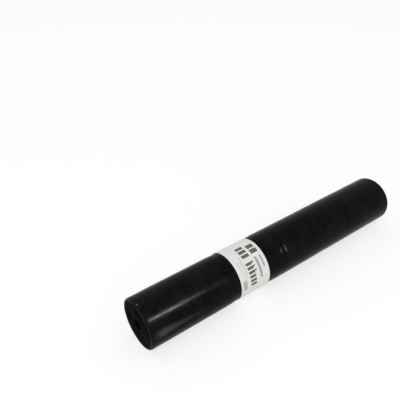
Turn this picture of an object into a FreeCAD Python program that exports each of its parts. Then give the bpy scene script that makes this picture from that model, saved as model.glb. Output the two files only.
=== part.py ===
import FreeCAD, Part
import math
import os
import Sketcher

# A roll of large bin bags, lying on its side, with a paper band round it.
# +X runs along the roll from the end nearest the band, +Z is up.
# The origin is on the surface it lies on, under the middle of the roll. Millimetres.

SIZES = {
    # The wound bags: a tight coreless roll of flat film
    "roll_length": 450,
    "roll_diameter": 72,
    "eye_diameter": 14,
    "first_rim_round": 2.5,
    "second_rim_round": 7,
    "rest_flat_width": 16,
    # The free edge of the last bag, a low step along the back of the roll
    "tail_step": 0.5,
    "tail_angle": -32,
    # The line between groups of turns, seen on both end faces
    "turn_pitch": 3.4,
    "turn_line_width": 0.5,
    "turn_line_depth": 0.8,
    "turn_line_margin": 1.5,
    # The waist that the tight band presses into the film
    "waist_depth": 0.7,
    "waist_flank": 16,
    "waist_margin": 1,
    # The band: a printed paper strip with its ends glued over each other
    "band_offset": 140,
    "band_width": 50,
    "band_paper": 0.2,
    "band_clearance": 0.1,
    "band_overlap": 16,
    "band_overlap_angle": -58,
}

RADIUS = "Sizes.roll_diameter / 2"
# The height of the roll's axis over the flat spot
REST = f"sqrt(({RADIUS}) ^ 2 - (Sizes.rest_flat_width / 2) ^ 2)"
EYE_RADIUS = "Sizes.eye_diameter / 2"
FIRST_END = "-Sizes.roll_length / 2"
SECOND_END = "Sizes.roll_length / 2"
WAIST_RADIUS = f"({RADIUS} - Sizes.waist_depth)"
WAIST_START = f"({FIRST_END} + Sizes.band_offset - Sizes.waist_margin)"
WAIST_END = f"({FIRST_END} + Sizes.band_offset + Sizes.band_width + Sizes.waist_margin)"
BAND_INSIDE = f"({WAIST_RADIUS} + Sizes.band_clearance)"
BAND_OUTSIDE = f"({BAND_INSIDE} + Sizes.band_paper)"


def make_sheet(doc):
    sheet = doc.addObject("Spreadsheet::Sheet", "Sizes")
    for row, (name, value) in enumerate(SIZES.items(), start=1):
        sheet.set(f"A{row}", name)
        sheet.set(f"B{row}", str(value))
        sheet.setAlias(f"B{row}", name)
    doc.recompute()
    return sheet


def worth(sheet, formula):
    # The number that a formula of the sheet's sizes gives now
    return float(sheet.evalExpression(formula))


def new_body(doc, label):
    # Each piece is drawn about the roll's axis and stands at that axis's height
    body = doc.addObject("PartDesign::Body", label)
    body.Label = label
    body.setExpression("Placement.Base.z", REST)
    return body


def new_sketch(body, name, role, offset="0", turned="0", about=(0, 0, 1)):
    plane = next(item for item in body.Origin.OriginFeatures if item.Role == role)
    sketch = body.newObject("Sketcher::SketchObject", name)
    sketch.AttachmentSupport = [(plane, "")]
    sketch.MapMode = "FlatFace"
    turn = FreeCAD.Rotation(FreeCAD.Vector(*about), 1)
    sketch.AttachmentOffset = FreeCAD.Placement(FreeCAD.Vector(), turn)
    sketch.setExpression("AttachmentOffset.Base.z", offset)
    sketch.setExpression("AttachmentOffset.Rotation.Angle", turned)
    return sketch


def bind(sketch, constraint, formula):
    index = sketch.addConstraint(constraint)
    sketch.setExpression(f"Constraints[{index}]", formula)


def pin(sheet, sketch, element, end, across, up):
    # Holds one end of an element at a place given by two formulas
    bind(sketch, Sketcher.Constraint("DistanceX", element, end, worth(sheet, across)), across)
    bind(sketch, Sketcher.Constraint("DistanceY", element, end, worth(sheet, up)), up)


def add_line(sheet, sketch, start, end, construction=False):
    places = [FreeCAD.Vector(worth(sheet, x), worth(sheet, y), 0) for x, y in (start, end)]
    element = sketch.addGeometry(Part.LineSegment(*places), construction)
    pin(sheet, sketch, element, 1, *start)
    pin(sheet, sketch, element, 2, *end)


def draw_below(sheet, sketch, depth):
    # A rectangle that takes in all of the roll that lies this far below its axis
    wide = "Sizes.roll_diameter"
    clear = f"(Sizes.roll_diameter + {depth})"
    corners = [(f"-{wide}", f"-{depth}"), (wide, f"-{depth}"), (wide, f"-{clear}"), (f"-{wide}", f"-{clear}")]
    for start, end in zip(corners, corners[1:] + corners[:1]):
        add_line(sheet, sketch, start, end)


def add_arc(sheet, sketch, centre, radius, start, end):
    # An arc from one place to another, counter-clockwise about its centre. Each end is
    # held by the coordinate that changes most along the arc there
    middle = FreeCAD.Vector(worth(sheet, centre[0]), worth(sheet, centre[1]), 0)
    circle = Part.Circle(middle, FreeCAD.Vector(0, 0, 1), worth(sheet, radius))
    offsets = [(worth(sheet, x) - middle.x, worth(sheet, y) - middle.y) for x, y in (start, end)]
    angles = [math.atan2(up, across) for across, up in offsets]
    if angles[1] <= angles[0]:
        angles[1] += 2 * math.pi
    element = sketch.addGeometry(Part.ArcOfCircle(circle, *angles))
    pin(sheet, sketch, element, 3, *centre)
    bind(sketch, Sketcher.Constraint("Radius", element, worth(sheet, radius)), radius)
    for point, (x, y), (across, up) in zip((1, 2), (start, end), offsets):
        way, formula = ("DistanceX", x) if abs(up) > abs(across) else ("DistanceY", y)
        bind(sketch, Sketcher.Constraint(way, element, point, worth(sheet, formula)), formula)


def draw_section(sheet, sketch, axis, radius):
    # Half of the roll cut open along its axis: both rims are rounded, and the waist
    # under the band runs out on each side in two bends that meet halfway down
    top = f"({axis} + {radius})"
    waist = f"({top} - Sizes.waist_depth)"
    first_round = "Sizes.first_rim_round"
    second_round = "Sizes.second_rim_round"
    flank = "Sizes.waist_flank"
    first_foot = (FIRST_END, axis)
    first_rim = (FIRST_END, f"{top} - {first_round}")
    first_top = (f"{FIRST_END} + {first_round}", top)
    second_top = (f"{SECOND_END} - {second_round}", top)
    second_rim = (SECOND_END, f"{top} - {second_round}")
    second_foot = (SECOND_END, axis)
    flank_out = (f"{WAIST_START} - {flank}", top)
    flank_in = (f"{WAIST_END} + {flank}", top)
    waist_in = (WAIST_START, waist)
    waist_out = (WAIST_END, waist)
    add_line(sheet, sketch, first_foot, second_foot, construction=True)
    add_line(sheet, sketch, second_foot, first_foot)
    add_line(sheet, sketch, first_foot, first_rim)
    add_line(sheet, sketch, first_top, flank_out)
    add_line(sheet, sketch, waist_in, waist_out)
    add_line(sheet, sketch, flank_in, second_top)
    add_line(sheet, sketch, second_rim, second_foot)

    first_centre = (f"{FIRST_END} + {first_round}", f"{top} - {first_round}")
    second_centre = (f"{SECOND_END} - {second_round}", f"{top} - {second_round}")
    add_arc(sheet, sketch, first_centre, first_round, first_top, first_rim)
    add_arc(sheet, sketch, second_centre, second_round, second_rim, second_top)

    # Each bend of the waist goes half of the depth in half of the flank
    bend = f"({flank} ^ 2 + Sizes.waist_depth ^ 2) / (4 * Sizes.waist_depth)"
    over = f"{top} - {bend}"
    under = f"{waist} + {bend}"
    halfway = f"{top} - Sizes.waist_depth / 2"
    half_in = (f"{WAIST_START} - {flank} / 2", halfway)
    half_out = (f"{WAIST_END} + {flank} / 2", halfway)
    add_arc(sheet, sketch, (flank_out[0], over), bend, half_in, flank_out)
    add_arc(sheet, sketch, (waist_in[0], under), bend, half_in, waist_in)
    add_arc(sheet, sketch, (waist_out[0], under), bend, waist_out, half_out)
    add_arc(sheet, sketch, (flank_in[0], over), bend, flank_in, half_out)


def draw_spiral(sheet, sketch, first_radius, pitch, turns):
    # Half circles about two centres by turns, each running on from the one before
    growth = worth(sheet, pitch) / 2
    halves = []
    held = []
    for half in range(2 * turns):
        upper = half % 2 == 0
        middle = FreeCAD.Vector(0 if upper else growth, 0, 0)
        radius = worth(sheet, first_radius) + half * growth
        circle = Part.Circle(middle, FreeCAD.Vector(0, 0, 1), radius)
        angles = (0, math.pi) if upper else (math.pi, 2 * math.pi)
        element = sketch.addGeometry(Part.ArcOfCircle(circle, *angles))
        if upper:
            held.append(Sketcher.Constraint("Coincident", element, 3, -1, 1))
        elif half > 1:
            held.append(Sketcher.Constraint("Coincident", element, 3, halves[1], 3))
        if half:
            held.append(Sketcher.Constraint("Coincident", element, 1, halves[-1], 2))
        held.append(Sketcher.Constraint("PointOnObject", element, 2, -1))
        halves.append(element)
    held.append(Sketcher.Constraint("PointOnObject", halves[0], 1, -1))
    sketch.addConstraint(held)
    bind(sketch, Sketcher.Constraint("Radius", halves[0], worth(sheet, first_radius)), first_radius)
    pin(sheet, sketch, halves[1], 3, f"{pitch} / 2", "0")
    return halves


def draw_turns(sheet, sketch, rim_round):
    # The line between groups of turns, a narrow spiral that stops short of the rim
    pitch = "Sizes.turn_pitch"
    first = f"({EYE_RADIUS} + Sizes.turn_line_margin)"
    room = f"{RADIUS} - {rim_round} - Sizes.turn_line_margin - {first}"
    turns = int(worth(sheet, f"({room}) / {pitch}"))
    inner = draw_spiral(sheet, sketch, first, pitch, turns)
    outer = draw_spiral(sheet, sketch, f"{first} + Sizes.turn_line_width", pitch, turns)
    for half, end in ((0, 1), (-1, 2)):
        places = [sketch.getPoint(side[half], end) for side in (inner, outer)]
        line = sketch.addGeometry(Part.LineSegment(*places))
        sketch.addConstraint(Sketcher.Constraint("Coincident", line, 1, inner[half], end))
        sketch.addConstraint(Sketcher.Constraint("Coincident", line, 2, outer[half], end))


def pocket(doc, body, sketch, name, depth, forward=False, both_ways=False):
    # Cuts a sketch out of the body, and makes sure that the cut meets the solid
    before = body.Tip.Shape.Volume
    cut = body.newObject("PartDesign::Pocket", name)
    cut.Profile = sketch
    cut.Reversed = forward
    cut.Midplane = both_ways
    cut.setExpression("Length", depth)
    doc.recompute()
    print(f"{name} takes off {before - cut.Shape.Volume:.1f} cubic mm")
    if cut.Shape.Volume >= before:
        raise ValueError(f"{name} cut nothing")


def make_wound_bags(doc, sheet):
    body = new_body(doc, "wound_bags")
    # The outer turn is two half turns about axes of their own. They meet flush on one
    # side, and on the other leave the step of the free edge
    halves = (
        ("Full", "0", RADIUS, True),
        ("Waning", "(-Sizes.tail_step / 2)", f"({RADIUS} - Sizes.tail_step / 2)", False),
    )
    for name, axis, radius, downwards in halves:
        section = new_sketch(body, f"{name}Section", "XY_Plane", turned="Sizes.tail_angle", about=(1, 0, 0))
        draw_section(sheet, section, axis, radius)
        half = body.newObject("PartDesign::Revolution", f"{name}Half")
        half.Profile = section
        half.ReferenceAxis = (section, ["Axis0"])
        half.Angle = 180
        half.Reversed = downwards
        doc.recompute()
        print(f"{name} half brings the roll to {body.Tip.Shape.Volume:.1f} cubic mm")

    whole_length = "2 * Sizes.roll_length"
    eye = new_sketch(body, "EyeOutline", "YZ_Plane")
    circle = Part.Circle(FreeCAD.Vector(), FreeCAD.Vector(0, 0, 1), worth(sheet, EYE_RADIUS))
    rim = eye.addGeometry(circle)
    eye.addConstraint(Sketcher.Constraint("Coincident", rim, 3, -1, 1))
    bind(eye, Sketcher.Constraint("Radius", rim, worth(sheet, EYE_RADIUS)), EYE_RADIUS)
    pocket(doc, body, eye, "Eye", whole_length, both_ways=True)

    # The small flat spot that the roll lies on, and its deeper part behind the band
    rest = new_sketch(body, "RestOutline", "YZ_Plane")
    draw_below(sheet, rest, REST)
    pocket(doc, body, rest, "RestFlat", whole_length, both_ways=True)
    seat = new_sketch(body, "BandRestOutline", "YZ_Plane", offset=WAIST_START)
    draw_below(sheet, seat, f"({REST} - Sizes.band_paper - Sizes.band_clearance)")
    pocket(doc, body, seat, "BandRestFlat", f"{WAIST_END} - {WAIST_START}", forward=True)

    ends = (
        ("First", FIRST_END, "Sizes.first_rim_round", True),
        ("Second", SECOND_END, "Sizes.second_rim_round", False),
    )
    for name, end, rim_round, forward in ends:
        turns = new_sketch(body, f"{name}Turns", "YZ_Plane", offset=end, turned="Sizes.tail_angle")
        draw_turns(sheet, turns, rim_round)
        pocket(doc, body, turns, f"{name}TurnLine", "Sizes.turn_line_depth", forward=forward)
    return body


def draw_ring(sheet, sketch, radius, rest):
    # A round with a flat under it
    half = f"sqrt({radius} ^ 2 - ({rest}) ^ 2)"
    left = (f"-{half}", f"-({rest})")
    right = (half, f"-({rest})")
    add_arc(sheet, sketch, ("0", "0"), radius, right, left)
    add_line(sheet, sketch, left, right)


def make_paper_band(doc, sheet):
    body = new_body(doc, "paper_band")
    start = f"{FIRST_END} + Sizes.band_offset"
    ring = new_sketch(body, "BandOutline", "YZ_Plane", offset=start)
    draw_ring(sheet, ring, BAND_OUTSIDE, REST)
    draw_ring(sheet, ring, BAND_INSIDE, f"{REST} - Sizes.band_paper")
    band = body.newObject("PartDesign::Pad", "Band")
    band.Profile = ring
    band.setExpression("Length", "Sizes.band_width")
    doc.recompute()
    plain = band.Shape.Volume

    # The glued end lies over the first one, on the hidden side
    lap = new_sketch(body, "OverlapOutline", "YZ_Plane", offset=start, turned="Sizes.band_overlap_angle")
    buried = f"({BAND_OUTSIDE} - Sizes.band_paper / 2)"
    proud = f"({BAND_OUTSIDE} + Sizes.band_paper)"
    reach = "Sizes.band_overlap / 2"
    low, high = [
        [(f"sqrt({radius} ^ 2 - ({reach}) ^ 2)", side) for radius in (buried, proud)]
        for side in (f"-{reach}", reach)
    ]
    for radius, start, end in zip((buried, proud), low, high):
        add_arc(sheet, lap, ("0", "0"), radius, start, end)
    for inner, outer in (low, high):
        add_line(sheet, lap, inner, outer)
    overlap = body.newObject("PartDesign::Pad", "Overlap")
    overlap.Profile = lap
    overlap.setExpression("Length", "Sizes.band_width")
    doc.recompute()
    print(f"overlap adds {body.Tip.Shape.Volume - plain:.1f} cubic mm")
    if body.Tip.Shape.Volume <= plain:
        raise ValueError("the overlap added nothing")
    return body


def check(doc, pieces):
    for item in doc.Objects:
        if "Invalid" in item.State or "Error" in item.State:
            raise ValueError(f"{item.Name} is {item.State}")
    for piece in pieces:
        shape = piece.Shape
        if shape.isNull() or not shape.isValid() or len(shape.Solids) != 1:
            raise ValueError(f"{piece.Label} has no sound solid")


def write(pieces):
    os.makedirs("parts", exist_ok=True)
    for piece in pieces:
        piece.Shape.exportStep(f"parts/{piece.Label}.step")
        box = piece.Shape.optimalBoundingBox(False)
        low = f"{box.XMin:.2f} {box.YMin:.2f} {box.ZMin:.2f}"
        high = f"{box.XMax:.2f} {box.YMax:.2f} {box.ZMax:.2f}"
        print(f"{piece.Label}: {piece.Shape.Volume:.0f} cubic mm, from {low} to {high}")


def main():
    doc = FreeCAD.newDocument("bin_bag_roll")
    sheet = make_sheet(doc)
    pieces = [make_wound_bags(doc, sheet), make_paper_band(doc, sheet)]
    doc.recompute()
    check(doc, pieces)
    write(pieces)


main()
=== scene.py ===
# %% [markdown]
# # A roll of large bin bags
#
# The object is a tight roll of thin black film, 450 mm long and 72 mm across, with
# a strip of printed paper glued round it. This lesson loads the measured solids of
# the roll, winds a better skin of film over them, wraps the paper band, and then
# gives both the finish of the real materials. All sizes are in metres. +X runs
# along the roll and +Z is up, and the roll lies on the plane z = 0.

# %% The tools and the measured solids
import bpy
import math
from mathutils import Matrix, Vector, noise


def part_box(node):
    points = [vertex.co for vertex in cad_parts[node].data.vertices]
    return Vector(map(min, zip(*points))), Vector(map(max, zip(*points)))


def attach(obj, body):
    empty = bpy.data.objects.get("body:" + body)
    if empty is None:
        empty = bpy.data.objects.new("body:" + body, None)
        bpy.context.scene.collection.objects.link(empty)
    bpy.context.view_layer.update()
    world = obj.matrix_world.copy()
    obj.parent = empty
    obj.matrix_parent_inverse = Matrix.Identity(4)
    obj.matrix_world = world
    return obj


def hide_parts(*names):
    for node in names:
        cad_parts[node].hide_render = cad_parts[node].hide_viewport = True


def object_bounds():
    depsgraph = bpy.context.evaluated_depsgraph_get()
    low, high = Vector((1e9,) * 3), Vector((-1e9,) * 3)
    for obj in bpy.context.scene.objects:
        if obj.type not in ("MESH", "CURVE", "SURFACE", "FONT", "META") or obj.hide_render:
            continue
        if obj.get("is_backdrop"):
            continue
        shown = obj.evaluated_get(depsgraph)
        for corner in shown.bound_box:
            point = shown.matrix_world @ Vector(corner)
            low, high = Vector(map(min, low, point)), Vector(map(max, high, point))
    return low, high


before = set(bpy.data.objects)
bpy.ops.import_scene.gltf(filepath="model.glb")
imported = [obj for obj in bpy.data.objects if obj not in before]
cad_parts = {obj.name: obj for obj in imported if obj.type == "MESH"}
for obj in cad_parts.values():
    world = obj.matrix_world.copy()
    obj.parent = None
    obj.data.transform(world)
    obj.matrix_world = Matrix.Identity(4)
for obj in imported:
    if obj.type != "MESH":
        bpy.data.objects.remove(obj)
cad_box = [list(corner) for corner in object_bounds()]
bags_low, bags_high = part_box("wound_bags")
band_low, band_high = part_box("paper_band")
print("nodes:", sorted(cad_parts))
print("roll from", [round(v, 4) for v in bags_low], "to", [round(v, 4) for v in bags_high])
print("band from", round(band_low.x, 4), "to", round(band_high.x, 4))

# %% [markdown]
# ## The sizes that everything shares
#
# A roll that lies on a table is a circle seen from its end, with its lowest part
# pressed flat, here 16 mm wide. So the axis is a little less than one radius above
# the table. The radius and the places of the ends and of the band are read from the
# solids, so that the dressed pieces stay exactly where the solids are.

# %% Shared sizes
MM = 0.001
half_flat = 8 * MM
roll_radius = round(-bags_low.y, 4)
near_end = bags_low.x
far_end = bags_high.x
axis_height = math.sqrt(roll_radius ** 2 - half_flat ** 2)
band_start = band_low.x
band_end = band_high.x
print(f"radius {roll_radius / MM:.2f} mm, axis {axis_height / MM:.2f} mm above the table")

# %% [markdown]
# ## The camera
#
# The photograph looks down on the roll from the front left. Its lens and place were
# worked out beforehand from the straight edges of the roll. Setting up the camera
# first makes each test render comparable with the photograph.

# %% The camera at the photograph's place
bpy.ops.object.camera_add(location=(-0.3998, -0.3724, 0.5377))
camera = bpy.context.object
camera.name = "photo_camera"
looked_at = Vector((-0.1282, 0, 0.1874))
camera.rotation_euler = (looked_at - camera.location).to_track_quat("-Z", "Y").to_euler()
camera.data.lens = 45.09
camera.data.sensor_width = 36
camera.data.clip_start = 0.01
bpy.context.scene.camera = camera
bpy.context.scene.view_settings.view_transform = "Standard"
print("camera is", round((looked_at - camera.location).length, 3), "m from the point it looks at")

# %% [markdown]
# ## Winding the film
#
# The roll is one long strip of film, wound up from the middle. It could be a plain
# cylinder with a line painted on each end, but then neither the edges of the turns
# nor the free edge of the last bag would catch any light. So the skin starts as a
# flat grid, as the film does, and every point of it is moved to its place on the
# roll. A column of the grid goes once along the whole surface: out over the near
# end, along the roll, in over the far end and back through the eye. A row of it
# goes once round, and ends one step nearer the outside than it began. So each row
# meets the row of the next turn, and the end faces show one continuous spiral. A
# turn drawn here stands for three or four real ones.

# %% How the turns are wound
turn_step = 0.5 * MM
near_turns = 51
points_per_turn = 4
columns = 128
near_round = 2.5 * MM
far_round = 7 * MM
far_turns = near_turns - round((far_round - near_round) / turn_step)

# The free edge of the last bag lies at this angle, low at the back
free_edge_angle = math.radians(-32)

# The skin starts just inside the solid, because its swells stand out a little
skin_radius = roll_radius - 0.05 * MM
eye_radius = skin_radius - near_round - (near_turns + 1) * turn_step
print(f"{near_turns} turns in the near end, {far_turns} in the far end")
print(f"the innermost turn starts {eye_radius / MM:.2f} mm from the axis, before the eye is made oval")


def growth(part):
    # How far the outermost turn has grown, from 0 at its start to 1 halfway round
    return (1 - math.cos(2 * math.pi * min(part, 0.5))) / 2


# %% [markdown]
# ### The profile
#
# The profile is the list of places that one column passes through. It holds only
# what is the same all the way round: how far along the roll the point is, how deep
# below the skin, and which part of the roll it belongs to. The points are closer
# together where the shape bends: at the rims and beside the band.

# %% The places along one column
near_rim_points = 6
far_rim_points = 8
eye_points = 24


def skin_places():
    # The points between the rims, closer together beside the band
    fine_spacing = 2.2 * MM
    wide_spacing = 4.4 * MM
    fine_reach = 26 * MM
    least_spacing = 0.2 * MM
    places = []
    at = near_end + near_round
    while at < far_end - far_round - least_spacing:
        places.append(at)
        beside = min(abs(at - band_start), abs(at - band_end))
        at += fine_spacing if beside < fine_reach else wide_spacing
    places.append(far_end - far_round)
    return places


def make_profile():
    # Each point: its part of the roll, its place along it, its depth below the skin
    # and, in the end faces, how many points it is from the rim
    profile = []
    for step in range(near_turns * points_per_turn, 0, -1):
        profile.append(("near", near_end, near_round + step * turn_step / points_per_turn, step))
    for part in range(near_rim_points):
        turn = math.pi / 2 * part / near_rim_points
        along = near_end + near_round * (1 - math.cos(turn))
        profile.append(("near_rim", along, near_round * (1 - math.sin(turn)), 0))
    for along in skin_places():
        profile.append(("skin", along, 0, 0))
    for part in range(1, far_rim_points + 1):
        turn = math.pi / 2 * part / far_rim_points
        along = far_end - far_round * (1 - math.sin(turn))
        profile.append(("far_rim", along, far_round * (1 - math.cos(turn)), 0))
    for step in range(1, far_turns * points_per_turn + 1):
        profile.append(("far", far_end, far_round + step * turn_step / points_per_turn, step))
    for part in range(1, eye_points):
        along = far_end + (near_end - far_end) * part / eye_points
        profile.append(("eye", along, near_round + near_turns * turn_step, 0))
    profile.append(profile[0])
    return profile


profile = make_profile()
print(len(profile), "points in a column,", len(profile) * columns, "faces in all")

# %% [markdown]
# ### What makes it look like film
#
# Film is never wound quite evenly. The edges of the turns stand a few tenths of a
# millimetre proud or shy of each other, so the ends get fine rings. The skin has
# shallow swells where folds lie underneath. The band squeezes a waist into it, its
# own weight presses a flat spot, and the loose edge of the last bag lifts a little.

# %% Two soft curves
def soft_step(value, low, high):
    # 0 up to low, 1 from high on, and an even rise between them
    part = min(max((value - low) / (high - low), 0), 1)
    return part * part * (3 - 2 * part)


def press_flat(height, level, softness):
    # Keeps a height above the level, and bends it softly where the two would meet
    above = height - level
    return level + (above + math.sqrt(above ** 2 + softness ** 2)) / 2


# %% The waist and the flat spot
def waist(along):
    # The depth of the waist that the tight band presses in
    deepest = 0.7 * MM
    margin = 1 * MM
    flank = 16 * MM
    outside = max(band_start - margin - along, along - band_end - margin, 0)
    return deepest * (1 - soft_step(outside, 0, flank))


def in_waist(along, low, high):
    # 0 where the waist is no deeper than low, 1 where it is as deep as high, in mm
    return soft_step(waist(along) / MM, low, high)


def rest(height, along):
    # The flat spot is on the table, and inside the band it leaves room for the paper
    room = 0.3 * MM
    return press_flat(height, room * in_waist(along, 0.3, 0.7), softness=0.5 * MM)


print(f"the waist is {waist((band_start + band_end) / 2) / MM:.2f} mm deep under the band")

# %% The unevenness of the ends and of the skin
# How far the four points of one turn lie behind its edge, in millimetres
BEHIND_THE_EDGE = (0, 0.04, 0.26, 0.1)


def edge_depth(end, wound, step):
    # How far a point of an end face lies behind the end of the roll. Two noises make
    # the turns uneven, a third shifts groups of them, and the outermost stay level
    seed = 11.3 if end == "near" else 47.9
    amount = 0.42 if end == "near" else 0.6
    slow = noise.noise(Vector((wound / 9, seed, 0.5)))
    fast = noise.noise(Vector((wound / 2.3, seed, 7.5)))
    group = math.floor(wound / 6.8)
    shifted = noise.noise(Vector((group * 3.7, seed, 3.5)))
    depth = amount * (0.55 + 0.5 * slow + 0.3 * fast + 0.35 * shifted)
    uneven = soft_step(wound, 0.4, 3.5)
    return (max(depth, 0) + BEHIND_THE_EDGE[step % points_per_turn]) * uneven * MM


def swell(along, angle):
    # The low swells of the skin, wide ones and small ones, nearly gone under the band
    wide_place = Vector((along * 16, math.cos(angle) * 1.1, math.sin(angle) * 1.1))
    small_place = Vector((along * 46, math.cos(angle) * 2.6, math.sin(angle) * 2.6))
    height = 0.20 * noise.noise(wide_place) + 0.05 * noise.noise(small_place)
    lowered = 0.06
    calm = 0.85 * in_waist(along, 0.25, 0.7)
    return (height - lowered) * MM * (1 - calm)


def lift(along, part):
    # The free edge of the last bag stands off the roll in places, outside the waist
    waves = 0.45 + 0.9 * noise.noise(Vector((along * 21, 5.1, 2.2)))
    free = 1 - in_waist(along, 0, 0.35)
    from_end = min(along - near_end, far_end - along)
    inside = soft_step(from_end, 2 * MM, 14 * MM)
    at_the_edge = soft_step(part, 0.955, 1)
    return max(waves, 0.1) * free * inside * at_the_edge * MM


# %% [markdown]
# ### Rolling the grid up
#
# The grid is added by an operator, with a size of one metre, and its points are then
# moved to their places on the roll. After that, merging doubles stitches each turn
# to the next. Two narrow gaps are left where the film begins and ends, and they are
# filled, so the skin is closed.

# %% A place on the wound roll
def wound_place(row, column):
    part = column / columns
    angle = free_edge_angle + 2 * math.pi * part
    region, along, depth, step = profile[row]
    radius = skin_radius - turn_step * (1 - growth(part)) - depth
    if region in ("near", "far"):
        wound = step / points_per_turn + 1 - growth(part)
        behind = edge_depth(region, wound, step)
        along += behind if region == "near" else -behind
    if region in ("skin", "near_rim", "far_rim"):
        # The unevenness of the skin fades away over the rims
        rim_round = near_round if region == "near_rim" else far_round
        share = max(1 - depth / rim_round, 0)
        radius += (swell(along, angle) - waist(along) + lift(along, part)) * share
    if region != "skin":
        # The eye is a little oval, and so are the turns next to it
        widening = 0.35 * MM
        oval = math.exp(-(radius - eye_radius) / (5 * MM))
        radius += widening * (1 + math.cos(2 * angle + 0.7)) * oval
    across = radius * math.cos(angle)
    height = axis_height + radius * math.sin(angle)
    return Vector((along, across, rest(height, along)))


# %% The grid of film, rolled up
def clear_selection():
    # An operator acts on all that is selected, so each step starts with nothing
    if bpy.context.object and bpy.context.object.mode != "OBJECT":
        bpy.ops.object.mode_set(mode="OBJECT")
    bpy.ops.object.select_all(action="DESELECT")


clear_selection()
bpy.ops.mesh.primitive_grid_add(
    x_subdivisions=len(profile) - 1,
    y_subdivisions=columns,
    size=1,
    calc_uvs=False,
)
film = bpy.context.object
film.name = film.data.name = "wound_film"
print(len(film.data.vertices), "points in the flat grid")
for point in film.data.vertices:
    row = round((point.co.x + 0.5) * (len(profile) - 1))
    column = round((point.co.y + 0.5) * columns)
    point.co = wound_place(row, column)

# %% Stitching the turns together
bpy.ops.object.mode_set(mode="EDIT")
bpy.ops.mesh.select_all(action="SELECT")
bpy.ops.mesh.remove_doubles(threshold=1e-6)
bpy.ops.mesh.select_all(action="DESELECT")
bpy.ops.mesh.select_mode(type="EDGE")
bpy.ops.mesh.select_non_manifold()
bpy.ops.object.mode_set(mode="OBJECT")
print(sum(edge.select for edge in film.data.edges), "open edges before the gaps are filled")
bpy.ops.object.mode_set(mode="EDIT")
bpy.ops.mesh.fill()
bpy.ops.mesh.select_all(action="DESELECT")

# Some of the new faces point inwards. They aren't open, and the next cell turns them
bpy.ops.mesh.select_non_manifold(use_non_contiguous=False)
bpy.ops.object.mode_set(mode="OBJECT")
print(sum(edge.select for edge in film.data.edges), "open edges after")

# %% Outward faces and smooth shading
bpy.ops.object.mode_set(mode="EDIT")
bpy.ops.mesh.select_all(action="SELECT")
bpy.ops.mesh.normals_make_consistent(inside=False)
bpy.ops.object.mode_set(mode="OBJECT")
bpy.ops.object.shade_smooth_by_angle(angle=math.radians(38))
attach(film, "root")
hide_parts("wound_bags")
print("the film has", sum(len(face.vertices) - 2 for face in film.data.polygons), "triangles")

# %% [markdown]
# ## The paper band
#
# The band is a strip of thin paper that goes once round the roll, and its ends are
# glued over each other at the back. It is wrapped from a flat grid in the same way
# as the film. Unlike the film, it keeps the flat sheet's coordinates as a UV map,
# because the print was put on it while it was flat. Solidify then gives it the
# thickness of paper.

# %% The flat strip
paper = 0.2 * MM
paper_overlap = 16 * MM
overlap_angle = math.radians(-58)

# The paper lies in the waist, which is 0.7 mm deep, about 0.1 mm clear of the film
paper_radius = roll_radius - 0.6 * MM
paper_width = band_end - band_start
paper_length = 2 * math.pi * paper_radius + paper_overlap
print(f"the strip is {paper_length / MM:.1f} by {paper_width / MM:.1f} mm")

clear_selection()
bpy.ops.mesh.primitive_grid_add(x_subdivisions=132, y_subdivisions=26, size=1)
sleeve = bpy.context.object
sleeve.name = sleeve.data.name = "band_sleeve"
sleeve.data.uv_layers[0].name = "flat_strip"
for corner in sleeve.data.uv_layers["flat_strip"].data:
    corner.uv = (corner.uv.x * paper_length, corner.uv.y * paper_width)


# %% Wrapping it round the roll
def wrapped_place(round_it, over_it):
    # round_it is the distance along the strip, and over_it the one across it
    turned = (round_it - paper_overlap / 2) / paper_radius
    angle = overlap_angle + turned
    lap_start = paper_length - paper_overlap
    lap_rise = 5 * MM
    laps = soft_step(round_it, lap_start - lap_rise, lap_start)

    # The paper ripples a little, and curls up along its edges
    from_edge = min(over_it, paper_width - over_it)
    curl_reach = 4 * MM
    ripple = 0.10 * noise.noise(Vector((turned * 1.9, over_it * 30, 4.4)))
    curled = 0.5 + noise.noise(Vector((turned * 1.3, over_it * 90, 8)))
    curl = 0.12 * (1 - soft_step(from_edge, 0, curl_reach)) * curled
    radius = paper_radius + (paper + 0.03 * MM) * laps
    radius += max(ripple, -0.03) * 0.5 * MM + max(curl, 0) * MM

    # Its edges aren't cut quite straight
    cut_reach = 12 * MM
    cut = 0.5 + noise.noise(Vector((turned * 0.8, 3.3, round(over_it / MM))))
    inset = max(0.25 * MM * cut, 0) * (1 - soft_step(from_edge, 0, cut_reach))
    side = 1 if over_it < paper_width / 2 else -1
    along = band_start + over_it + side * inset

    height = axis_height + radius * math.sin(angle)
    height = press_flat(height, paper * (1 + laps), softness=0.16 * MM)
    return Vector((along, radius * math.cos(angle), height))


for point in sleeve.data.vertices:
    point.co = wrapped_place((point.co.x + 0.5) * paper_length, (point.co.y + 0.5) * paper_width)

# %% The thickness of the paper
thick = sleeve.modifiers.new("paper", "SOLIDIFY")
thick.thickness = paper
thick.offset = 1
bpy.ops.object.modifier_apply(modifier="paper")
bpy.ops.object.mode_set(mode="EDIT")
bpy.ops.mesh.select_all(action="SELECT")
bpy.ops.mesh.normals_make_consistent(inside=False)
bpy.ops.object.mode_set(mode="OBJECT")
bpy.ops.object.shade_smooth_by_angle(angle=math.radians(40))
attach(sleeve, "root")
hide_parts("paper_band")
lowest = min(point.co.z for point in sleeve.data.vertices)
farthest = max(math.hypot(point.co.y, point.co.z - axis_height) for point in sleeve.data.vertices)
print(f"the sleeve's lowest point is {lowest / MM:.2f} mm up, its largest radius {farthest / MM:.2f} mm")


# %% [markdown]
# ## Helpers for the finishes
#
# A finish is a small network of nodes. These helpers add a node, set its plain
# values and link its inputs in one line, so the recipes below stay readable.

# %% Adding and linking nodes
def give(tree, socket, value):
    # An input gets a link from another node's output, or a plain value
    if isinstance(value, bpy.types.NodeSocket):
        tree.links.new(value, socket)
    else:
        socket.default_value = value


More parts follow.
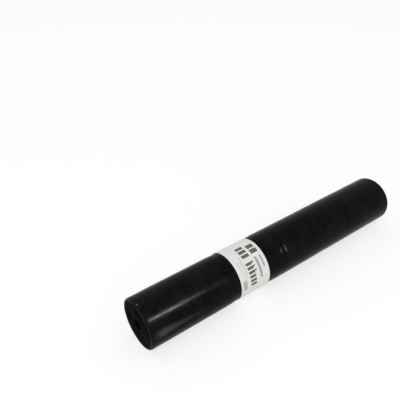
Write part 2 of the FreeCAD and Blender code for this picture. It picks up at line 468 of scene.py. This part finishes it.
def add_node(tree, kind, settings=None, **inputs):
    # An input is named as in Blender, with _ for a space, or by its number, as in i0
    node = tree.nodes.new(kind)
    for name, value in (settings or {}).items():
        setattr(node, name, value)
    for name, value in inputs.items():
        numbered = name[1:].isdigit()
        socket = node.inputs[int(name[1:]) if numbered else name.replace("_", " ")]
        give(tree, socket, value)
    return node


def new_finish(name):
    material = bpy.data.materials.new(name)
    material.use_nodes = True
    tree = material.node_tree
    tree.nodes.clear()
    surface = add_node(tree, "ShaderNodeBsdfPrincipled")
    add_node(tree, "ShaderNodeOutputMaterial", Surface=surface.outputs[0])
    return material, tree, surface


# %% Arithmetic with nodes
def maths(tree, how, first, second=0.0):
    return add_node(tree, "ShaderNodeMath", {"operation": how}, i0=first, i1=second).outputs[0]


def plus(tree, first, second):
    return maths(tree, "ADD", first, second)


def minus(tree, first, second):
    return maths(tree, "SUBTRACT", first, second)


def times(tree, first, second):
    return maths(tree, "MULTIPLY", first, second)


def divided(tree, first, second):
    return maths(tree, "DIVIDE", first, second)


def remap(tree, value, low, high, to_low=0.0, to_high=1.0, smooth=True):
    # Turns the range from low to high into the one from to_low to to_high
    kind = "SMOOTHSTEP" if smooth else "LINEAR"
    return add_node(
        tree, "ShaderNodeMapRange", {"interpolation_type": kind}, Value=value,
        From_Min=low, From_Max=high, To_Min=to_low, To_Max=to_high,
    ).outputs["Result"]


# %% Patterns and colours
def stretched(tree, place, *scale):
    node = add_node(tree, "ShaderNodeMapping", Vector=place)
    node.inputs["Scale"].default_value = scale
    return node.outputs[0]


def cloud(tree, place, scale=1.0, detail=2.0, rough=0.5):
    # A soft noise between 0 and 1
    return add_node(
        tree, "ShaderNodeTexNoise", Vector=place, Scale=scale, Detail=detail, Roughness=rough
    ).outputs["Fac"]


def blend_colours(tree, share, first, second):
    # A mix node has inputs for several kinds of value, and those for colours are 6 and 7
    node = add_node(tree, "ShaderNodeMix", {"data_type": "RGBA"}, i0=share, i6=first, i7=second)
    return node.outputs[2]


def grey(level):
    return (level, level, level, 1)


# %% [markdown]
# ## The finish of the film
#
# Thin black polythene is a deep black with a clear, slightly hazy gloss. One even
# black would look like moulded plastic. On real film the extruder leaves faint rings
# round the roll, by turns clearer and hazier, and the winding leaves fine folds
# along it. So the rings change the roughness as well as the relief. Low on the front,
# near the end, a faint second highlight is painted into the colour as a paler patch,
# and two short glints beyond the band are painted in as pale marks round the roll.
# All of it is in object coordinates, so it sits still on the roll from every side.

# %% The black film
def roll_place(tree):
    # The place on the roll, measured from its axis
    place = add_node(tree, "ShaderNodeTexCoord").outputs["Object"]
    to_axis = add_node(tree, "ShaderNodeMapping", Vector=place)
    to_axis.inputs["Location"].default_value = (0, 0, -axis_height)
    return to_axis.outputs[0]


DEEP_BLACK = (0.0021, 0.0020, 0.0026, 1)
HAZY_BLACK = (0.0054, 0.0052, 0.0062, 1)
# The colour of the painted highlight low on the front
PAINTED_HIGHLIGHT_GREY = (0.052, 0.050, 0.053, 1)
# The colour of the two painted glints beyond the band
PAINTED_GLINT_GREY = (0.080, 0.084, 0.085, 1)

film_finish, tree, surface = new_finish("black_film")
surface.inputs["Specular IOR Level"].default_value = 0.036
centred = roll_place(tree)
rings = cloud(tree, stretched(tree, centred, 260, 5, 5), detail=3.0, rough=0.6)
folds = cloud(tree, stretched(tree, centred, 14, 130, 130), rough=0.55)
haze = cloud(tree, centred, scale=42.0, detail=3.0, rough=0.6)

dullness = plus(tree, times(tree, haze, 0.45), times(tree, rings, 0.55))
tree.links.new(remap(tree, dullness, 0.38, 0.62, 0.16, 0.29), surface.inputs["Roughness"])
skin_colour = blend_colours(tree, remap(tree, dullness, 0.40, 0.62), DEEP_BLACK, HAZY_BLACK)

relief = plus(tree, times(tree, rings, 0.5), times(tree, folds, 0.6))
bump = add_node(tree, "ShaderNodeBump", Height=relief, Strength=0.6, Distance=0.2 * MM)
tree.links.new(bump.outputs[0], surface.inputs["Normal"])
print(len(tree.nodes), "nodes in the bare film")

# %% The painted highlight low on the front
# A painted highlight: the film's colour is paler here. It is a wedge, wide near the end of the roll and
# narrow towards the band
patch_height = 8 * MM
patch_half_width = 8 * MM
patch_start = near_end + 12 * MM
patch_length = 75 * MM

along, across, up = add_node(tree, "ShaderNodeSeparateXYZ", Vector=centred).outputs
from_line = maths(tree, "ABSOLUTE", minus(tree, up, patch_height))
from_start = divided(tree, minus(tree, along, patch_start), patch_length)
narrowing = maths(tree, "MAXIMUM", from_start, 0.0)
wedge = plus(tree, divided(tree, from_line, patch_half_width), narrowing)
in_front = remap(tree, across, -20 * MM, -26 * MM)
off_the_rim = remap(tree, along, near_end + 2 * MM, near_end + 18 * MM)
patch = times(tree, times(tree, remap(tree, wedge, 1.15, 0.1), in_front), off_the_rim)
# The painted highlight is uneven, paler where the film is hazier
painted_highlight = times(tree, patch, remap(tree, dullness, 0.38, 0.60, 0.35, 1.0))
skin_colour = blend_colours(tree, painted_highlight, skin_colour, PAINTED_HIGHLIGHT_GREY)
print(len(tree.nodes), "nodes with the rubbed patch")

# %% The painted glints beyond the band
# Two short glints, painted as pale marks round the roll
PAINTED_GLINTS = (
    # how far from the band, height over the axis, half the width and half the length
    # in millimetres, and how white it is
    (28, 25.0, 2.0, 3.3, 0.46),
    (36.2, 25.3, 1.9, 4.1, 0.84),
)

# The outlines of the painted glints are ragged, because noise shifts where they end
grain = cloud(tree, centred, scale=520.0, rough=0.6)
ragged = remap(tree, grain, 0.25, 0.75, -0.75, 0.75, smooth=False)
on_the_front = remap(tree, across, 0, -10 * MM)
for from_band, height, half_width, half_length, white in PAINTED_GLINTS:
    off_along = divided(tree, minus(tree, along, band_end + from_band * MM), half_width * MM)
    off_up = divided(tree, minus(tree, up, height * MM), half_length * MM)
    off = plus(tree, times(tree, off_along, off_along), times(tree, off_up, off_up))
    # Each painted glint lightens the film's colour on the front
    painted_glint = remap(tree, plus(tree, off, ragged), 1.3, 0.0, 0.0, white)
    skin_colour = blend_colours(tree, times(tree, painted_glint, on_the_front), skin_colour, PAINTED_GLINT_GREY)
tree.links.new(skin_colour, surface.inputs["Base Color"])
film.data.materials.append(film_finish)
print(len(tree.nodes), "nodes in the film's finish")

# %% [markdown]
# ## The edges of the film
#
# The end faces and the eye are the folded and cut edges of hundreds of plies. They
# scatter the light, so they are duller and darker than the skin, with a ring for
# every few plies. They get a finish of their own, because the strength of the gloss
# is a plain value of a finish and can't change over the surface. The raised plies
# get a painted sheen: a paler colour, in groups and broken by nicks.

# %% The edges of the plies
EDGE_BLACK = (0.0024, 0.0024, 0.0028, 1)
EDGE_PAINTED_SHEEN = (0.085, 0.083, 0.086, 1)

edge_finish, tree, surface = new_finish("film_edges")
surface.inputs["Specular IOR Level"].default_value = 0.01
centred = roll_place(tree)
_, across, up = add_node(tree, "ShaderNodeSeparateXYZ", Vector=centred).outputs
squares = plus(tree, times(tree, across, across), times(tree, up, up))
wobble = times(tree, cloud(tree, centred, scale=60.0, detail=1.0), 0.4 * MM)
ply_radius = plus(tree, maths(tree, "SQRT", squares), wobble)
ply_place = add_node(tree, "ShaderNodeCombineXYZ", X=ply_radius).outputs[0]
plies = cloud(tree, ply_place, scale=1900.0, detail=3.0, rough=0.65)
bag_groups = cloud(tree, ply_place, scale=380.0, detail=1.0)
nicks = cloud(tree, centred, scale=260.0, rough=0.6)

tree.links.new(remap(tree, plies, 0.3, 0.7, 0.46, 0.66), surface.inputs["Roughness"])
# The raised plies are painted paler, as a painted sheen where they would catch the light
raised = remap(tree, plies, 0.5, 0.66)
in_groups = times(tree, raised, remap(tree, bag_groups, 0.42, 0.6, 0.08, 1.0))
painted_sheen = times(tree, in_groups, remap(tree, nicks, 0.3, 0.7, 0.35, 1.0))
tree.links.new(blend_colours(tree, painted_sheen, EDGE_BLACK, EDGE_PAINTED_SHEEN), surface.inputs["Base Color"])
bump = add_node(tree, "ShaderNodeBump", Height=plies, Strength=0.5, Distance=0.3 * MM)
tree.links.new(bump.outputs[0], surface.inputs["Normal"])
film.data.materials.append(edge_finish)
print(len(tree.nodes), "nodes in the finish of the edges")


# %% The faces that the edges cover
def is_edge(middle):
    # Whether a face, known by its middle, is in an end face or in the eye
    deepest_edge = 1.6 * MM
    rim_margin = 0.3 * MM
    eye_margin = 1.5 * MM
    radius = math.hypot(middle.y, middle.z - axis_height)
    if middle.x < near_end + deepest_edge:
        return radius < skin_radius - near_round - rim_margin
    if middle.x > far_end - deepest_edge:
        return radius < skin_radius - far_round - rim_margin
    return radius < eye_radius + eye_margin


clear_selection()
film.select_set(True)
bpy.context.view_layer.objects.active = film
bpy.ops.object.mode_set(mode="EDIT")
bpy.ops.mesh.select_mode(type="FACE")
bpy.ops.mesh.select_all(action="DESELECT")
bpy.ops.object.mode_set(mode="OBJECT")
for face in film.data.polygons:
    face.select = is_edge(face.center)
bpy.ops.object.mode_set(mode="EDIT")
film.active_material_index = film.data.materials.find(edge_finish.name)
bpy.ops.object.material_slot_assign()
bpy.ops.object.mode_set(mode="OBJECT")
print(sum(face.material_index for face in film.data.polygons), "faces are edges of film")

# %% [markdown]
# ## The finish of the paper
#
# The band is cheap uncoated paper, off-white and matt, printed in one dark grey.
# Its print is laid out in the flat strip's own millimetres, so each mark follows
# the paper round the roll. The marks are plain blocks in rows: a row is a stretch
# of the strip, cut into blocks of one pitch. One node group draws such a row, and
# is placed once for each row of print.

# %% A node group that draws one row of blocks
def make_block_row():
    tree = bpy.data.node_groups.new("block_row", "ShaderNodeTree")
    sockets = {"Start": 0.0, "End": 10.0, "Middle": 10.0, "Height": 2.0, "Pitch": 3.0, "Filled": 0.8}
    tree.interface.new_socket("Strip", in_out="INPUT", socket_type="NodeSocketVector")
    for name, number in sockets.items():
        socket = tree.interface.new_socket(name, in_out="INPUT", socket_type="NodeSocketFloat")
        socket.default_value = number
    tree.interface.new_socket("Mark", in_out="OUTPUT", socket_type="NodeSocketFloat")
    given = {socket.name: socket for socket in tree.nodes.new("NodeGroupInput").outputs if socket.name}
    along, across, _ = add_node(tree, "ShaderNodeSeparateXYZ", Vector=given["Strip"]).outputs

    # How far a place is inside a block: the least of its distances to the two ends of
    # the row, to the nearer long side of the row and to the end of the block
    from_start = minus(tree, along, given["Start"])
    to_end = minus(tree, given["End"], along)
    off_middle = maths(tree, "ABSOLUTE", minus(tree, across, given["Middle"]))
    inside = minus(tree, times(tree, given["Height"], 0.5), off_middle)
    in_block = maths(tree, "FRACT", divided(tree, from_start, given["Pitch"]))
    room = times(tree, minus(tree, given["Filled"], in_block), given["Pitch"])
    lengthwise = maths(tree, "MINIMUM", from_start, to_end)
    nearest = maths(tree, "MINIMUM", lengthwise, maths(tree, "MINIMUM", inside, room))
    add_node(tree, "NodeGroupOutput", Mark=remap(tree, nearest, -0.06, 0.1))
    return tree


block_row = make_block_row()
print("the row group has", len(block_row.nodes), "nodes")

# %% Where the print goes
strip_per_radian = paper_radius / MM


def strip_at(degrees):
    # The distance along the strip, in millimetres, of a direction round the roll
    return (math.radians(degrees) - overlap_angle) * strip_per_radian + paper_overlap / 2 / MM


PRINT_ROWS = (
    # from and to in degrees round the roll, middle and height across the strip in
    # millimetres, block pitch, share of it that is filled, and how dark the ink is
    (80, 115, 24.0, 12.0, 7.3, 0.70, 0.95),
    (123.5, 180, 21.8, 10.0, 5.9, 0.66, 0.95),
    (123.5, 146, 28.4, 3.4, 5.9, 0.36, 0.95),
    (85, 113, 39.8, 11.4, 8.8, 0.78, 0.95),
    (119, 168, 35.8, 3.8, 3.3, 0.80, 0.74),
    (120, 148, 43.4, 3.4, 2.9, 0.80, 0.62),
    (104, 152, 13.4, 1.5, 2.3, 0.60, 0.55),
    (112, 158, 10.4, 1.1, 1.7, 0.66, 0.50),
    (110, 150, 6.6, 1.0, 1.9, 0.72, 0.50),
    (156, 180, 7.1, 6.2, 90.0, 1.00, 0.48),
)
first_degrees = min(row[0] for row in PRINT_ROWS)
print("the print begins", round(strip_at(first_degrees), 1), "mm along the strip")

# %% The printed paper
GREYER_PAPER = (0.63, 0.615, 0.595, 1)
PALE_PAPER = (0.73, 0.715, 0.69, 1)
BLOTCHED_PAPER = (0.66, 0.63, 0.62, 1)
PRINTING_INK = (0.035, 0.033, 0.034, 1)

paper_finish, tree, surface = new_finish("band_paper")
surface.inputs["Specular IOR Level"].default_value = 0.3
flat = add_node(tree, "ShaderNodeUVMap", {"uv_map": "flat_strip"}).outputs[0]
strip = stretched(tree, flat, 1 / MM, 1 / MM, 1)
fibres = cloud(tree, strip, scale=2.2, detail=4.0, rough=0.7)
long_fibres = cloud(tree, stretched(tree, strip, 0.35, 2.6, 1), detail=3.0, rough=0.6)
blotches = cloud(tree, strip, scale=0.07)

ink = None
for start, end, middle, height, pitch, filled, darkness in PRINT_ROWS:
    row = add_node(
        tree, "ShaderNodeGroup", {"node_tree": block_row}, Strip=strip, Start=strip_at(start),
        End=strip_at(end), Middle=middle, Height=height, Pitch=pitch, Filled=filled,
    )
    dark = times(tree, row.outputs["Mark"], darkness)
    ink = dark if ink is None else maths(tree, "MAXIMUM", ink, dark)
worn_ink = times(tree, ink, remap(tree, fibres, 0.25, 0.6, 0.82, 1.0))

bare = blend_colours(tree, remap(tree, fibres, 0.3, 0.7), GREYER_PAPER, PALE_PAPER)
blotched = remap(tree, blotches, 0.35, 0.65, 0.0, 0.35)
bare = blend_colours(tree, blotched, bare, BLOTCHED_PAPER)
printed = blend_colours(tree, worn_ink, bare, PRINTING_INK)
tree.links.new(printed, surface.inputs["Base Color"])
tree.links.new(remap(tree, long_fibres, 0.3, 0.7, 0.55, 0.72), surface.inputs["Roughness"])
fibre_height = plus(tree, fibres, long_fibres)
bump = add_node(tree, "ShaderNodeBump", Height=fibre_height, Strength=0.25, Distance=0.08 * MM)
tree.links.new(bump.outputs[0], surface.inputs["Normal"])
sleeve.data.materials.append(paper_finish)
print(len(PRINT_ROWS), "rows of print,", len(tree.nodes), "nodes in the paper's finish")

# %% [markdown]
# ## The table and the light
#
# The roll is shown on plain white, in soft studio light. Gloss on black film shows
# nothing but what it reflects, so narrow lamps are placed in one line, where the roll
# mirrors them to the camera as a streak along the film. They are three, of different
# lengths, because the streak fades towards the band. Another strip does the same for
# the back of the roll, from where the photograph's camera sees hardly any of it. A
# large dim lamp and the sky light the rest. The sky is plain white for the camera and
# for mirrored rays, and greyer for everything that it lights. The floor is partly
# plain white to the camera in the same way, so that the roll's shadow stays soft and
# light.

# %% The floor
def seen_rays(tree):
    # 1 for what the camera sees, directly or in gloss or glass
    ray = add_node(tree, "ShaderNodeLightPath").outputs
    mirrored = maths(tree, "MAXIMUM", ray["Is Glossy Ray"], ray["Is Transmission Ray"])
    return maths(tree, "MAXIMUM", ray["Is Camera Ray"], mirrored)


plain_share = 0.68
clear_selection()
bpy.ops.mesh.primitive_circle_add(vertices=96, radius=3.5, fill_type="NGON", location=(0, 0, 0))
floor = bpy.context.object
floor.name = "studio_floor"
floor_finish, tree, surface = new_finish("pale_floor")
surface.inputs["Base Color"].default_value = grey(0.95)
surface.inputs["Roughness"].default_value = 0.9
surface.inputs["Specular IOR Level"].default_value = 0.1
plain_white = add_node(tree, "ShaderNodeEmission", Color=grey(1), Strength=1.0)
share = times(tree, seen_rays(tree), plain_share)
both = add_node(tree, "ShaderNodeMixShader", i0=share, i1=surface.outputs[0], i2=plain_white.outputs[0])
tree.links.new(both.outputs[0], tree.nodes["Material Output"].inputs["Surface"])
floor.data.materials.append(floor_finish)
floor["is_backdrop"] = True
print("the floor is", round(floor.dimensions.x, 2), "m across")

# %% The sky
world = bpy.data.worlds.new("studio_sky")
bpy.context.scene.world = world
world.use_nodes = True
tree = world.node_tree
tree.nodes.clear()
lit = add_node(tree, "ShaderNodeBackground", Color=grey(1), Strength=0.85)
shown = add_node(tree, "ShaderNodeBackground", Color=grey(1), Strength=1.0)
both = add_node(tree, "ShaderNodeMixShader", i0=seen_rays(tree), i1=lit.outputs[0], i2=shown.outputs[0])
add_node(tree, "ShaderNodeOutputWorld", Surface=both.outputs[0])
print(len(tree.nodes), "nodes in the sky")


# %% Two ways to place a lamp
def add_lamp(name, place, target, long_side, short_side, power, lie_along=(1, 0, 0)):
    # A flat lamp that faces the target, with its long side as near as can be to lie_along
    bpy.ops.object.light_add(type="AREA", location=place)
    lamp = bpy.context.object
    lamp.name = name
    lamp.data.shape = "RECTANGLE"
    lamp.data.size = long_side
    lamp.data.size_y = short_side
    lamp.data.energy = power
    back = (Vector(place) - Vector(target)).normalized()
    side = Vector(lie_along)
    side = (side - back * side.dot(back)).normalized()
    turned = Matrix((side, back.cross(side), back)).transposed()
    lamp.rotation_euler = turned.to_euler()
    return lamp


def add_gloss_lamp(name, start, end, width, power, target, spread):
    # A strip between two places, there for the gloss alone. A narrow spread keeps it
    # from glaring on the rest of the roll
    lamp = add_lamp(name, (start + end) / 2, target, (end - start).length, width, power, end - start)
    lamp.visible_diffuse = False
    lamp.data.spread = math.radians(spread)


# %% The lamps
streak_from = Vector((0.079, -0.698, 0.737))
streak_to = Vector((0.377, -0.731, 0.594))
streak_aim = (-0.185, -0.024, 0.062)
STREAK_LAMPS = (
    # the shares of the line at which it starts and ends, its width in metres and its
    # power in watts
    ("bright_strip", 0.05, 0.12, 0.05, 0.14),
    ("middle_strip", 0.13, 0.34, 0.045, 0.012),
    ("dim_strip", 0.03, 1.0, 0.045, 0.006),
)

clear_selection()
for name, share_from, share_to, width, power in STREAK_LAMPS:
    start = streak_from.lerp(streak_to, share_from)
    end = streak_from.lerp(streak_to, share_to)
    add_gloss_lamp(name, start, end, width, power, streak_aim, spread=24)
back_from = Vector((-0.80, 0.60, 0.80))
back_to = Vector((-0.10, 0.60, 0.80))
back_aim = (-0.45, 0, 0.06)
add_gloss_lamp("back_strip", back_from, back_to, 0.08, 1.8, back_aim, spread=60)
add_lamp("soft_lamp", (-1.1, -1.2, 2.2), (0, 0, 0), long_side=1.6, short_side=1.6, power=22.0)

# %% [markdown]
# ## The last measurement
#
# The size of the dressed roll is written next to that of the solids, because the
# dress must not change the size of the object.

# %% Measuring and finishing
visual_box = [list(corner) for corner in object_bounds()]
for name, box in (("solids", cad_box), ("dressed", visual_box)):
    print(name, [[round(value / MM, 2) for value in corner] for corner in box])
